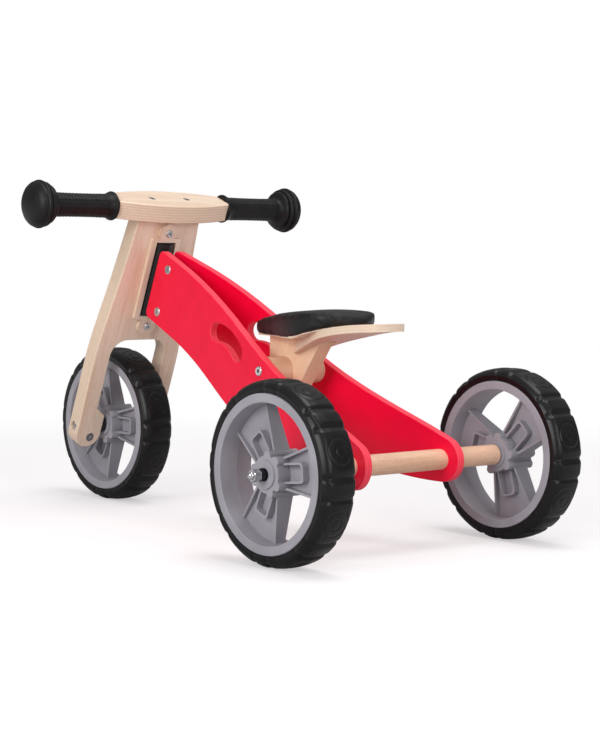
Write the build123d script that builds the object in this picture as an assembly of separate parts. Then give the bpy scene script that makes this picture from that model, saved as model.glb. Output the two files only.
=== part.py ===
from build123d import *
from math import atan, cos, degrees, radians, sin, sqrt, tan
import os

# A small wooden ride-on trike, in mm. Front is -Y, left is +X, the ground is Z = 0 and
# the origin lies on the ground midway between the front and the rear axle.

# ---- overall sizes ----
wheelbase = 462.0
track = 293.6  # between the middle planes of the two rear wheels
steering_lean = 21.1  # degrees that the steering axis leans back

# ---- wheels ----
tyre_radius = 85.0
tyre_width = 37.4
rim_lip_radius = 72.6
rim_lip_inner = 64.0
rim_barrel_outer = 67.0
rim_barrel_inner = 62.6
rim_half_width = 18.8
rim_lip_thickness = 3.0
left_wheel_turn = 7.0  # degrees that each rear wheel stands turned
right_wheel_turn = 45.0
hub_radius = 17.0
hub_disc_radius = 12.8
hub_shoulder = 2.0  # the bearing disc stands this far proud of the hub flange
hub_lobe_radius = 4.4
spoke_count = 3
spoke_half_at_hub = 13.0
spoke_half_at_rim = 26.0
web_thickness = 4.6
rib_width = 2.2
rib_half_depth = 9.5  # at the hub
rib_end_half_depth = 5.5  # at the barrel
rim_edge_radius = 1.0
loop_end_radius = 42.0
loop_half_width = 9.4
bush_radius = 6.0
bush_length = 12.0

# ---- fixings ----
rod_diameter = 6.0
hole_clearance = 0.15  # radial, round bolts in wood
spin_clearance = 0.05  # radial, bushes on their axle
end_float = 0.3  # along the axle, at each side of a wheel
washer_radius = 6.0
washer_thickness = 1.5
nut_across_flats = 10.0
nut_thickness = 5.0
cap_nut_length = 11.6
cap_nut_thread = 8.0
cap_dome_radius = 3.8
head_radius = 4.9
head_height = 2.4
head_sink = 1.2
socket_across_flats = 4.0
socket_depth = 1.6
wood_screw_radius = 1.75
wood_screw_head_radius = 4.2
wood_screw_head_height = 2.2

# ---- side panels ----
panel_thickness = 9.0
panel_front_back = 23.0  # front edge of the panels, behind the fork's middle plane
panel_front_half_gap = 5.0
panel_rear_half_gap = 53.0
panel_top = 218.0  # at the front, up the steering axis from the front axle
panel_bottom = 142.0
panel_corner_radius = 6.0
panel_rear_radius = 22.0
panel_edge_radius = 1.2
panel_top_straight = 45.0  # length of the straight stretch behind the front edge
panel_bottom_straight = 60.0
panel_top_points = [(17, 126), (80, 87.6), (179, 44)]  # (y, height above the axles) on the curved edges
panel_bottom_points = [(160, -16), (80, 7), (8, 42.5)]
panel_rear_angle = 24.0  # slope of the top edge where it meets the rounded rear end
hand_hole_width = 19.0
hand_hole_line = [(-14.5, 112.5), (9.5, 107.2), (28.5, 93.3)]  # (y, height above the axles), an arc

# ---- fork and handlebar ----
fork_thickness = 18.0
fork_top_half = 40.5
fork_shoulder_half = 48.5
fork_shoulder_up = 160.0
fork_leg_up = 70.0  # the legs are straight below this height
fork_neck_slope = 0.08  # outward run of the sides just under the handlebar plate
fork_leg_half = 56.5
fork_inner_half = 36.0
fork_foot_inner = 24.6
fork_foot_top = 19.0
fork_foot_radius = 16.0
fork_foot_drop = 7.0  # the foot's rounding starts this far below the axle
fork_foot_slope = 4.5  # half the height of the slope where the leg thickens inwards
fork_arch_top = 105.5
fork_arch_radius = 19.0
fork_edge_radius = 1.5
window_half_width = 12.8
window_bottom = 136.0
window_top = 222.0
cover_thickness = 4.0
cover_rim = 6.4  # beside the window
cover_end_rim = 4.4  # above and below it
cover_tab_radius = 11.0
cover_screw_gap = 11.8  # from the window's lower end to the cover's lower screw
cover_upper_gap = 10.6
cover_screw_length = 14.0
cover_corner_radius = 3.0
plate_thickness = 20.0
plate_half_length = 72.0
plate_half_depth = 23.5
plate_end_half_depth = 12.5
plate_edge_radius = 1.6
plate_screw_spacing = 46.0
plate_screw_hold = 28.0  # how far the screws reach into the fork
screw_sink = 2.6  # from the plate's top to the underside of the screws' heads
bar_height = 257.8  # bar axis, up the steering axis from the front axle
bar_diameter = 12.0
bar_wall = 1.5
bar_half_length = 160.0
grip_radius = 12.4
grip_flange_radius = 15.2
grip_flange_length = 5.0
grip_body_end = 150.0
grip_flange_corner = 1.5
grip_ridges = [(2.0, 20.5), (6.4, 23.4), (11.2, 25.0)]  # (distance past the body's end, radius)
ridge_depth = 1.6
grip_dome = [(17.0, 23.8), (21.5, 18.5), (25.0, 9.0)]  # the round end, the same way
grip_length_end = 177.0

# ---- front axle and the cross nuts in the fork's feet ----
axle_nut_sink = 9.0
axle_nut_length = 7.0
axle_nut_floor = 2.0  # closed end of the nut, which holds its socket
front_spacer_radius = 9.0
lock_nut_x = 38.0
lock_nut_up = -11.0
lock_nut_radius = 5.0
lock_nut_length = 6.0

# ---- steering pivot ----
pin_diameter = 8.0
pin_grip = 7.0  # length of the pin held above and below the window
pivot_washer_thickness = 1.0
pivot_washer_radius = 9.0
block_side_gap = 0.8  # between the block and the sides of the window
block_gap = 0.3  # between the block and each pivot washer
tongue_neck_half = 4.4
tongue_margin = 12.0  # tongue top and bottom inside the panels' edges
tongue_back = 56.0
frame_bolt_back = 47.0
lower_frame_bolt_back = 46.0
frame_bolt_inset = 13.5  # from the panels' top and bottom edges

# ---- seat ----
post_thickness = 17.0
post_rise = 112.0  # top of the post above the axles
post_front = 47.5
post_back = 124.0
post_front_length = 56.0
post_upper_bolt = (70.3, 78.0)  # (y, height above the axles)
post_lower_bolt = (58.0, 34.0)
post_foot_radius = 12.0
upper_spacer_radius = 14.0
lower_spacer_radius = 7.0
board_thickness = 7.5
board_front = 90.0
board_back = 217.0
board_half_width = 33.0
board_slope = 0.30
board_level_slope = 0.058
board_level_from = 205.0
board_rise = 107.4  # underside of the seat board above the axles, at the back of the post
board_slot_gap = 0.6  # around the post
board_slot_end = 6.0  # the slot runs this far behind the post
board_nose = 4.0  # how far the outline would round over past the board's front edge
base_thickness = 5.0
base_margin = 4.0
saddle_front = 24.5
saddle_back = 173.5
saddle_nose_half = 23.0
saddle_half_width = 42.0
saddle_height = 26.5  # crown above the post's top

# ---- rear axle ----
dowel_radius = 10.0

lean = radians(steering_lean)
axle_y = wheelbase / 2
wheel_x = track / 2
plate_bottom = bar_height - plate_thickness / 2
plate_screws_at = (-plate_screw_spacing / 2, plate_screw_spacing / 2)
block_radius = window_half_width - block_side_gap
pivot_back = fork_thickness / 2 - pin_diameter / 2
rear_back = wheelbase * cos(lean)
splay = atan((panel_rear_half_gap - panel_front_half_gap) / (rear_back - panel_front_back))
board_bend = (board_slope - board_level_slope) / (board_level_from - post_back)
post_top = tyre_radius + post_rise
board_height_at_post = tyre_radius + board_rise
rod_radius = rod_diameter / 2
rod_hole = rod_radius + hole_clearance
hub_face = wheel_x + rim_half_width
hub_inner_face = wheel_x - rim_half_width


# ---- frames of reference ----
# Steering parts are drawn in the fork's plane: x across, y up the steering axis from the
# front axle, z forwards. "back" is the distance behind that plane.
fork_plane = Plane(origin=(0, -axle_y, tyre_radius), x_dir=(1, 0, 0), z_dir=(0, -cos(lean), sin(lean)))


def on_fork(shape):
    return fork_plane.location * shape


def fork_point(x, back, up):
    return fork_plane.from_local_coords(Vector(x, up, -back))


def side_point(back, up):
    point = fork_point(0, back, up)
    return (point.Y, point.Z)


def above_axles(points):
    return [(y, tyre_radius + up) for y, up in points]


def inner_half_gap(y, z):
    back = (y + axle_y) * cos(lean) - (z - tyre_radius) * sin(lean)
    return panel_front_half_gap + (back - panel_front_back) * tan(splay)


def panel_face(side, offset):
    # A panel's inner face, moved outwards by offset; its normal points outwards.
    normal = Vector(side * cos(splay), -sin(splay) * cos(lean), sin(splay) * sin(lean))
    start = fork_point(side * panel_front_half_gap, panel_front_back, 0)
    return Plane(origin=start + normal * offset, z_dir=normal)


def extrude_across(face_sketch, half_width):
    # A side view drawn as (y, z), made into a solid that runs from -half_width to +half_width.
    side_view = Plane(origin=(-half_width, 0, 0), x_dir=(0, 1, 0), z_dir=(1, 0, 0))
    return extrude(side_view * face_sketch, 2 * half_width)


def along_x(radius, start, end, y, z):
    middle = (start + end) / 2
    return Pos(middle, y, z) * Rot(0, 90, 0) * Cylinder(radius, abs(end - start))


def drilled(shape, radius, y, z, start=-200, end=200):
    return shape - along_x(radius, start, end, y, z)


def group(solids):
    return Compound(children=list(solids))


# ---- wheels: drawn about Z, then laid on the X axis ----
def wheel_place(x, y, turn):
    # Turned so that one spoke points the given angle above straight back.
    return Pos(x, y, tyre_radius) * Rot(0, 90, 0) * Rot(0, 0, 90 + turn)


def spoke():
    half_hub = spoke_half_at_hub
    half_rim = spoke_half_at_rim
    reach = (rim_barrel_inner + rim_barrel_outer) / 2
    start = hub_radius * 0.6
    end = sqrt(reach**2 - half_rim**2)
    corners = [(start, -half_hub), (end, -half_rim), (reach, 0), (end, half_rim), (start, half_hub)]
    web = Polygon(*corners, align=None)
    body = extrude(web, web_thickness / 2, both=True)
    slope = degrees(atan((half_rim - half_hub) / (end - start)))
    length = sqrt((end - start) ** 2 + (half_rim - half_hub) ** 2)
    low = rib_end_half_depth
    high = rib_half_depth
    flank = Plane.XZ * Polygon((0, -high), (length, -low), (length, low), (0, high), align=None)
    rib = extrude(flank, rib_width / 2, both=True)
    for side in (1, -1):
        body += Pos(start, side * (half_hub - rib_width / 2)) * Rot(0, 0, side * slope) * rib
    loop_length = loop_end_radius - hub_radius * 0.6
    loop = RectangleRounded(2 * loop_length, 2 * loop_half_width, 4)
    loop -= RectangleRounded(2 * (loop_length - rib_width), 2 * (loop_half_width - rib_width), 3)
    loop = Pos(hub_radius * 0.6, 0) * loop
    keep = Pos(hub_radius * 0.6, 0) * Rectangle(100, 100, align=(Align.MIN, Align.CENTER))
    body += extrude(loop & keep, rib_half_depth, both=True)
    return body


def rim():
    half = rim_half_width
    lip_in = half - rim_lip_thickness
    section = Polyline(
        (rim_lip_inner, half),
        (rim_lip_radius, half),
        (rim_lip_radius, lip_in),
        (rim_barrel_outer, lip_in),
        (rim_barrel_outer, -lip_in),
        (rim_lip_radius, -lip_in),
        (rim_lip_radius, -half),
        (rim_lip_inner, -half),
        (rim_barrel_inner, 0),
        close=True,
    )
    section = make_face(section)
    lips = [corner for corner in section.vertices() if abs(corner.Y) > lip_in + 1]
    section = fillet(lips, rim_edge_radius)
    body = revolve(Plane.XZ * section, Axis.Z)
    body += Cylinder(hub_radius, 2 * (half - hub_shoulder))
    body += Cylinder(hub_disc_radius, 2 * half)
    for index in range(spoke_count):
        turn = Rot(0, 0, index * 360 / spoke_count)
        body += turn * spoke()
        for side in (1, -1):
            lobe = Pos(sqrt(hub_radius**2 - spoke_half_at_hub**2) + 2, side * (spoke_half_at_hub - 2), 0)
            body += turn * lobe * Cylinder(hub_lobe_radius, 2 * (half - hub_shoulder))
    return body - Cylinder(bush_radius, 2 * half)


def tyre():
    half = tyre_width / 2
    seat = rim_half_width - rim_lip_thickness
    wall_start = rim_lip_radius + end_float
    shoulder = tyre_radius - 7
    crown = half - 8
    outline = Polyline(
        (rim_barrel_outer, -seat),
        (rim_barrel_outer, seat),
        (wall_start, seat),
        (wall_start, half),
        (shoulder, half),
    )
    upper = RadiusArc((shoulder, half), (tyre_radius - 0.8, crown), 9)
    tread = ThreePointArc((tyre_radius - 0.8, crown), (tyre_radius, 0), (tyre_radius - 0.8, -crown))
    lower = RadiusArc((tyre_radius - 0.8, -crown), (shoulder, -half), 9)
    wall = Polyline((shoulder, -half), (wall_start, -half), (wall_start, -seat), (rim_barrel_outer, -seat))
    face = make_face([outline, upper, tread, lower, wall])
    return revolve(Plane.XZ * face, Axis.Z)


def bushes():
    half = rim_half_width
    bore = Cylinder(rod_radius + spin_clearance, 2 * half)
    solids = []
    for side in (1, -1):
        sleeve = Pos(0, 0, side * (half - bush_length / 2)) * Cylinder(bush_radius, bush_length)
        solids.append(sleeve - bore)
    return solids


# ---- fasteners ----
def hexagon(across_flats):
    return RegularPolygon(across_flats / 2, 6, major_radius=False)


def socket_head(radius, height):
    # A low domed head on Z = 0, with a hexagon socket.
    head = Cylinder(radius, height, align=(Align.CENTER, Align.CENTER, Align.MIN))
    head = fillet(head.edges().sort_by(Axis.Z)[-1], height * 0.45)
    return head - Pos(0, 0, height - socket_depth) * extrude(hexagon(socket_across_flats), socket_depth)


def wood_screw(length):
    head = socket_head(wood_screw_head_radius, wood_screw_head_height)
    shank = Cylinder(wood_screw_radius, length, align=(Align.CENTER, Align.CENTER, Align.MAX))
    return head + shank


def turned_to_x(side):
    return Rot(0, 90 * side, 0)


def cross_bolt(y, z, half_face):
    # A bolt across the frame: its head sits sunk in the left panel, its thread ends in a round nut.
    seat = half_face - head_sink
    head = Pos(seat, y, z) * turned_to_x(1) * socket_head(head_radius, head_height)
    bolt = head + along_x(rod_radius, -seat - head_height + 0.4, seat, y, z)
    nut = Pos(-seat, y, z) * turned_to_x(-1) * Cylinder(
        head_radius, head_height, align=(Align.CENTER, Align.CENTER, Align.MIN)
    )
    return bolt, nut - along_x(rod_radius, -200, 200, y, z)


def bolt_cut(shape, y, z, half_face):
    shape = drilled(shape, rod_hole, y, z)
    for side in (1, -1):
        start = side * (half_face - head_sink)
        shape = drilled(shape, head_radius + hole_clearance, y, z, start, side * 200)
    return shape


# ---- side panels ----
frame_bolts_at = [
    side_point(frame_bolt_back, panel_top - frame_bolt_inset),
    side_point(lower_frame_bolt_back, panel_bottom + frame_bolt_inset),
]
seat_bolts_at = above_axles([post_upper_bolt, post_lower_bolt])


def outer_half_gap(y, z):
    return inner_half_gap(y, z) + panel_thickness / cos(splay)


def panel_outline():
    rear_y = axle_y
    rear_z = tyre_radius
    radius = panel_rear_radius
    top_front = side_point(panel_front_back, panel_top)
    top_bend = side_point(panel_front_back + panel_top_straight, panel_top)
    bottom_front = side_point(panel_front_back, panel_bottom)
    bottom_bend = side_point(panel_front_back + panel_bottom_straight, panel_bottom)
    rear_angle = radians(panel_rear_angle)
    top_end = (rear_y + radius * sin(rear_angle), rear_z + radius * cos(rear_angle))
    bottom_end = (rear_y, rear_z - radius)
    top_slopes = [(1, -tan(lean)), (cos(rear_angle), -sin(rear_angle))]
    top = Spline(top_bend, *above_axles(panel_top_points), top_end, tangents=top_slopes)
    rear = ThreePointArc(top_end, (rear_y + radius, rear_z), bottom_end)
    bottom_slopes = [(-1, 0), (-1, tan(lean))]
    bottom = Spline(bottom_end, *above_axles(panel_bottom_points), bottom_bend, tangents=bottom_slopes)
    front = Polyline(bottom_bend, bottom_front, top_front, top_bend)
    outline = make_face([top, rear, bottom, front])
    corners = outline.vertices().sort_by(Axis.X)[:2]
    return fillet(corners, panel_corner_radius)


def hand_hole():
    middle_line = ThreePointArc(*above_axles(hand_hole_line))
    return SlotArc(middle_line, hand_hole_width)


def panel(side):
    body = extrude_across(panel_outline(), 120)
    body -= extrude_across(hand_hole(), 130)
    body = split(body, bisect_by=panel_face(side, 0), keep=Keep.TOP)
    body = split(body, bisect_by=panel_face(side, panel_thickness), keep=Keep.BOTTOM)
    flats = body.faces().sort_by(SortBy.AREA)[-2:]
    body = fillet(flats.edges(), panel_edge_radius)
    for y, z in frame_bolts_at + seat_bolts_at:
        body = bolt_cut(body, y, z, outer_half_gap(y, z))
    return drilled(body, rod_hole, axle_y, tyre_radius)


# ---- fork, cover plate and handlebar ----
def fork():
    half = fork_leg_half
    right_side = Spline(
        (fork_top_half, plate_bottom),
        (fork_shoulder_half, fork_shoulder_up),
        (half, fork_leg_up),
        tangents=[(fork_neck_slope, -1), (0, -1)],
    )
    foot_bottom = -fork_foot_radius - fork_foot_drop
    foot = Polyline(
        (half, fork_leg_up),
        (half, foot_bottom),
        (fork_foot_inner, foot_bottom),
        (fork_foot_inner, fork_foot_top - fork_foot_slope),
        (fork_inner_half, fork_foot_top + fork_foot_slope),
        (fork_inner_half, fork_arch_top),
        (0, fork_arch_top),
    )
    top = Line((0, plate_bottom), (fork_top_half, plate_bottom))
    middle = Line((0, fork_arch_top), (0, plate_bottom))
    outline = make_face([top, right_side, foot, middle])
    corners = outline.vertices()
    feet = [corner for corner in corners if abs(corner.Y - foot_bottom) < 0.1]
    outline = fillet(feet, fork_foot_radius - 0.5)
    arch = [corner for corner in outline.vertices() if abs(corner.Y - fork_arch_top) < 0.1 and corner.X > 1]
    outline = fillet(arch, fork_arch_radius)
    outline += mirror(outline, about=Plane.YZ)
    body = extrude(outline, fork_thickness / 2, both=True)
    flats = body.faces().sort_by(SortBy.AREA)[-2:]
    long_edges = [edge for edge in flats.edges() if abs(edge.center().Y - plate_bottom) > 0.1]
    body = fillet(long_edges, fork_edge_radius)
    window = Pos(0, (window_bottom + window_top) / 2)
    body -= window * Box(2 * window_half_width, window_top - window_bottom, 2 * fork_thickness)
    pin_length = window_top - window_bottom + 2 * pin_grip
    groove = Rot(90, 0, 0) * Cylinder(pin_diameter / 2 + 0.02, pin_length)
    groove += Pos(0, 0, -pivot_back / 2 - 1) * Box(pin_diameter + 0.04, pin_length, pivot_back)
    body -= window * Pos(0, 0, -pivot_back) * groove
    body -= axle_cuts()
    for x in plate_screws_at:
        body -= Pos(x, plate_bottom, 0) * Rot(90, 0, 0) * Cylinder(wood_screw_radius, 2 * plate_screw_hold)
    for up in cover_screws_at():
        body -= Pos(0, up, 0) * Cylinder(wood_screw_radius, 2 * fork_thickness)
    return on_fork(body)


def axle_cuts():
    cuts = Rot(0, 90, 0) * Cylinder(rod_hole, 200)
    for side in (1, -1):
        start = fork_leg_half - axle_nut_sink
        cuts += Pos(side * (start + 20), 0, 0) * Rot(0, 90, 0) * Cylinder(head_radius + hole_clearance, 40)
        pocket = Cylinder(lock_nut_radius, 2 * lock_nut_length)
        cuts += Pos(side * lock_nut_x, lock_nut_up, -fork_thickness / 2) * pocket
    return cuts


def cover_screws_at():
    return [window_bottom - cover_screw_gap, window_top + cover_upper_gap]


def cover_plate():
    middle = (window_bottom + window_top) / 2
    height = window_top - window_bottom
    wide = 2 * (window_half_width + cover_rim)
    outline = Pos(0, middle) * RectangleRounded(wide, height + 2 * cover_end_rim, cover_corner_radius)
    for up in cover_screws_at():
        outline += Pos(0, up) * Circle(cover_tab_radius)
    outline -= Pos(0, middle) * Rectangle(2 * window_half_width, height)
    body = Pos(0, 0, -fork_thickness / 2 - cover_thickness) * extrude(outline, cover_thickness)
    for up in cover_screws_at():
        body -= Pos(0, up, -fork_thickness / 2) * Cylinder(wood_screw_radius, 4 * cover_thickness)
    return on_fork(body)


def cover_screws():
    solids = []
    for up in cover_screws_at():
        place = Pos(0, up, -fork_thickness / 2 - cover_thickness) * Rot(180, 0, 0)
        solids.append(on_fork(place * wood_screw(cover_screw_length)))
    return solids


def lock_nuts():
    solids = []
    for side in (1, -1):
        nut = Cylinder(lock_nut_radius, lock_nut_length, align=(Align.CENTER, Align.CENTER, Align.MAX))
        nut -= Pos(0, 0, -socket_depth) * extrude(hexagon(socket_across_flats), socket_depth)
        place = Pos(side * lock_nut_x, lock_nut_up, -fork_thickness / 2) * Rot(180, 0, 0)
        solids.append(on_fork(place * nut))
    return solids


def handlebar_plate():
    long = plate_half_length
    deep = plate_half_depth
    end = plate_end_half_depth
    rear = ThreePointArc((long, -end), (0, -deep), (-long, -end))
    front = ThreePointArc((-long, end), (0, deep), (long, end))
    sides = [Line((-long, -end), (-long, end)), Line((long, end), (long, -end))]
    outline = make_face([rear, front] + sides)
    body = extrude(outline, plate_thickness / 2, both=True)
    body = fillet(body.edges().filter_by(GeomType.CIRCLE), plate_edge_radius)
    body = Pos(0, bar_height, 0) * Rot(-90, 0, 0) * body
    body -= Pos(0, bar_height, 0) * Rot(0, 90, 0) * Cylinder(bar_diameter / 2, 4 * long)
    for x in plate_screws_at:
        body -= Pos(x, bar_height, 0) * Rot(90, 0, 0) * Cylinder(wood_screw_radius, 2 * plate_thickness)
        pocket = Cylinder(wood_screw_head_radius + hole_clearance, 2 * screw_sink)
        body -= Pos(x, bar_height + plate_thickness / 2, 0) * Rot(90, 0, 0) * pocket
    return on_fork(body)


def bar():
    tube = Cylinder(bar_diameter / 2, 2 * bar_half_length) - Cylinder(
        bar_diameter / 2 - bar_wall, 2 * bar_half_length
    )
    body = Pos(0, bar_height, 0) * Rot(0, 90, 0) * tube
    for x in plate_screws_at:
        body -= Pos(x, bar_height, 0) * Rot(90, 0, 0) * Cylinder(wood_screw_radius, 2 * bar_diameter)
    return on_fork(body)


def plate_screws():
    solids = []
    length = plate_thickness - screw_sink + plate_screw_hold
    for x in plate_screws_at:
        place = Pos(x, bar_height + plate_thickness / 2 - screw_sink, 0) * Rot(-90, 0, 0)
        solids.append(on_fork(place * wood_screw(length)))
    return solids


def grip(side):
    # Drawn as (distance out from the middle, radius) and revolved about the bar.
    start = plate_half_length
    flange = start + grip_flange_length
    body_end = grip_body_end
    soft = grip_flange_corner
    profile = [
        (start, 0),
        (start, grip_flange_radius - soft),
        (start + soft, grip_flange_radius),
        (flange - soft, grip_flange_radius),
        (flange + 2 * soft, grip_radius),
        (body_end, grip_radius),
    ]
    for along, radius in grip_ridges:
        profile += [(body_end + along, radius - ridge_depth), (body_end + along + ridge_depth, radius)]
    profile += [(body_end + along, radius) for along, radius in grip_dome]
    profile.append((grip_length_end, 0))
    body = revolve(make_face(Polyline(*profile, close=True)), Axis.X)
    bore_length = bar_half_length - start
    bore = Cylinder(bar_diameter / 2, bore_length)
    body -= Pos(start + bore_length / 2, 0, 0) * Rot(0, 90, 0) * bore
    body = Pos(0, bar_height, 0) * body
    if side < 0:
        body = mirror(body, about=Plane.YZ)
    return on_fork(body)


# ---- steering pivot ----
def pivot_pin():
    pin = Cylinder(pin_diameter / 2, window_top - window_bottom + 2 * pin_grip)
    middle = (window_bottom + window_top) / 2
    return on_fork(Pos(0, middle, -pivot_back) * Rot(90, 0, 0) * pin)


def pivot_washers():
    solids = []
    half = pivot_washer_thickness / 2
    for up in (window_bottom + half, window_top - half):
        washer = Cylinder(pivot_washer_radius, pivot_washer_thickness)
        washer -= Cylinder(pin_diameter / 2 + spin_clearance, pivot_washer_thickness)
        solids.append(on_fork(Pos(0, up, -pivot_back) * Rot(90, 0, 0) * washer))
    return solids


def steering_block():
    gap = pivot_washer_thickness + block_gap
    low = window_bottom + gap
    high = window_top - gap
    middle = (low + high) / 2
    body = Pos(0, middle, -pivot_back) * Rot(90, 0, 0) * Cylinder(block_radius, high - low)
    tongue_low = panel_bottom + tongue_margin
    tongue_high = panel_top - tongue_margin
    back = tongue_back
    wide = panel_front_half_gap + (back - panel_front_back) * tan(splay)
    plan = Polygon(
        (-tongue_neck_half, -pivot_back),
        (-tongue_neck_half, -panel_front_back),
        (-panel_front_half_gap, -panel_front_back),
        (-wide, -back),
        (wide, -back),
        (panel_front_half_gap, -panel_front_back),
        (tongue_neck_half, -panel_front_back),
        (tongue_neck_half, -pivot_back),
        align=None,
    )
    tongue_foot = Plane(origin=(0, tongue_low, 0), x_dir=(1, 0, 0), z_dir=(0, 1, 0))
    body += extrude(tongue_foot * mirror(plan, about=Plane.XZ), tongue_high - tongue_low)
    body -= Pos(0, middle, -pivot_back) * Rot(90, 0, 0) * Cylinder(
        pin_diameter / 2 + spin_clearance, high - low + 1
    )
    body = on_fork(body)
    for y, z in frame_bolts_at:
        body = drilled(body, rod_hole, y, z)
    return body


# ---- front axle ----
def front_axle_parts():
    reach = fork_leg_half - axle_nut_sink
    rod_end = reach + axle_nut_length - axle_nut_floor
    axle = along_x(rod_radius, -rod_end, rod_end, -axle_y, tyre_radius)
    nuts = []
    spacers = []
    for side in (1, -1):
        nut = Cylinder(head_radius, axle_nut_length, align=(Align.CENTER, Align.CENTER, Align.MIN))
        thread = axle_nut_length - axle_nut_floor
        nut -= Cylinder(rod_radius, thread, align=(Align.CENTER, Align.CENTER, Align.MIN))
        nut -= Pos(0, 0, axle_nut_length - socket_depth) * extrude(hexagon(socket_across_flats), socket_depth)
        nuts.append(Pos(side * reach, -axle_y, tyre_radius) * turned_to_x(side) * nut)
        start = side * (rim_half_width + end_float)
        spacer = along_x(front_spacer_radius, start, side * fork_foot_inner, -axle_y, tyre_radius)
        spacers.append(drilled(spacer, rod_hole, -axle_y, tyre_radius))
    return axle, nuts, spacers


# ---- rear axle ----
def rear_rod():
    end = hub_face + end_float + washer_thickness + nut_thickness + cap_nut_thread
    return along_x(rod_radius, -end, end, axle_y, tyre_radius)


def rear_washers():
    solids = []
    starts = [hub_face + end_float, hub_inner_face - end_float - washer_thickness]
    for side in (1, -1):
        for start in starts:
            end = start + washer_thickness
            ring = along_x(washer_radius, side * start, side * end, axle_y, tyre_radius)
            solids.append(drilled(ring, rod_hole, axle_y, tyre_radius))
    return solids


def rear_nuts():
    solids = []
    start = hub_face + end_float + washer_thickness
    for side in (1, -1):
        nut = extrude(hexagon(nut_across_flats), nut_thickness) - Cylinder(rod_radius, 3 * nut_thickness)
        solids.append(Pos(side * start, axle_y, tyre_radius) * turned_to_x(side) * nut)
    return solids


def cap_nuts():
    solids = []
    start = hub_face + end_float + washer_thickness + nut_thickness
    for side in (1, -1):
        hexagonal = extrude(hexagon(nut_across_flats), cap_nut_length - cap_dome_radius - 0.5)
        round_length = cap_nut_length - cap_dome_radius
        round_part = Cylinder(cap_dome_radius, round_length, align=(Align.CENTER, Align.CENTER, Align.MIN))
        dome = Pos(0, 0, cap_nut_length - cap_dome_radius) * Sphere(cap_dome_radius)
        nut = hexagonal + round_part + dome
        nut -= Cylinder(rod_radius, cap_nut_thread, align=(Align.CENTER, Align.CENTER, Align.MIN))
        solids.append(Pos(side * start, axle_y, tyre_radius) * turned_to_x(side) * nut)
    return solids


def centre_dowel():
    body = along_x(dowel_radius, -100, 100, axle_y, tyre_radius)
    for side in (1, -1):
        body = split(body, bisect_by=panel_face(side, 0), keep=Keep.BOTTOM)
    return drilled(body, rod_hole, axle_y, tyre_radius)


def spacer_dowel(side):
    end = side * (hub_inner_face - end_float - washer_thickness)
    body = along_x(dowel_radius, side * 20, end, axle_y, tyre_radius)
    body = split(body, bisect_by=panel_face(side, panel_thickness), keep=Keep.TOP)
    return drilled(body, rod_hole, axle_y, tyre_radius)


# ---- seat ----
def board_underside(y):
    run = min(y, board_level_from) - post_back
    height = board_height_at_post + board_slope * run - board_bend * run**2 / 2
    return height + max(0.0, y - board_level_from) * board_level_slope


def board_slope_at(y):
    return board_slope - board_bend * (min(y, board_level_from) - post_back)


def board_curve(offset, start, end):
    # The seat board's side view from start to end, moved up by offset: a parabola, then level.
    bend_end = min(end, board_level_from)
    middle = (start + bend_end) / 2
    first = (start, board_underside(start) + offset)
    control = (middle, first[1] + board_slope_at(start) * (bend_end - start) / 2)
    last = (bend_end, board_underside(bend_end) + offset)
    edges = [Bezier(first, control, last)]
    if end > board_level_from:
        edges.append(Line(last, (end, board_underside(end) + offset)))
    return edges


def seat_board():
    low = board_curve(0, board_front, board_back)
    high = board_curve(board_thickness, board_front, board_back)
    ends = [Line(low[0] @ 0, high[0] @ 0), Line(low[-1] @ 1, high[-1] @ 1)]
    body = extrude_across(make_face(low + high + ends), 60)
    length = board_back - board_front
    nose = board_front - board_nose
    plan = Spline(
        (0, nose),
        (board_half_width * 0.62, board_front + length * 0.17),
        (board_half_width, board_front + length * 0.5),
        (board_half_width * 0.84, board_front + length * 0.85),
        (0, board_back),
        tangents=[(1, 0), (-1, 0)],
    )
    outline = make_face([plan, Line((0, board_back), (0, nose))])
    outline += mirror(outline, about=Plane.YZ)
    body &= Pos(0, 0, 100) * extrude(outline, 200)
    slot_reach = post_back + board_slot_end - board_front
    slot = Rectangle(post_thickness + 2 * board_slot_gap, 2 * slot_reach)
    return body - Pos(0, board_front, 0) * extrude(slot, 2 * post_top)


def base_curve(offset):
    # The underside of the saddle's base: level on the post, then up the seat board.
    lift = board_height_at_post + board_thickness - post_top
    meet = post_back + (board_slope - sqrt(board_slope**2 + 2 * board_bend * lift)) / board_bend
    start = (saddle_front + base_margin, post_top + offset)
    level = Line(start, (meet, post_top + offset))
    return [level] + board_curve(board_thickness + offset, meet, saddle_back - base_margin)


def saddle_outline(margin):
    front = saddle_front + margin
    back = saddle_back - margin
    nose = saddle_nose_half - margin
    wide = saddle_half_width - margin
    plan = Spline(
        (0, front),
        (nose, front + 30),
        (wide, back - 48),
        (0, back),
        tangents=[(1, 0), (-1, 0)],
    )
    outline = make_face([plan, Line((0, back), (0, front))])
    outline += mirror(outline, about=Plane.YZ)
    return Pos(0, 0, 100) * extrude(outline, 200)


def saddle_base():
    low = base_curve(0)
    high = base_curve(base_thickness)
    ends = [Line(low[0] @ 0, high[0] @ 0), Line(low[-1] @ 1, high[-1] @ 1)]
    body = extrude_across(make_face(low + high + ends), 60)
    return body & saddle_outline(base_margin)


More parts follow.
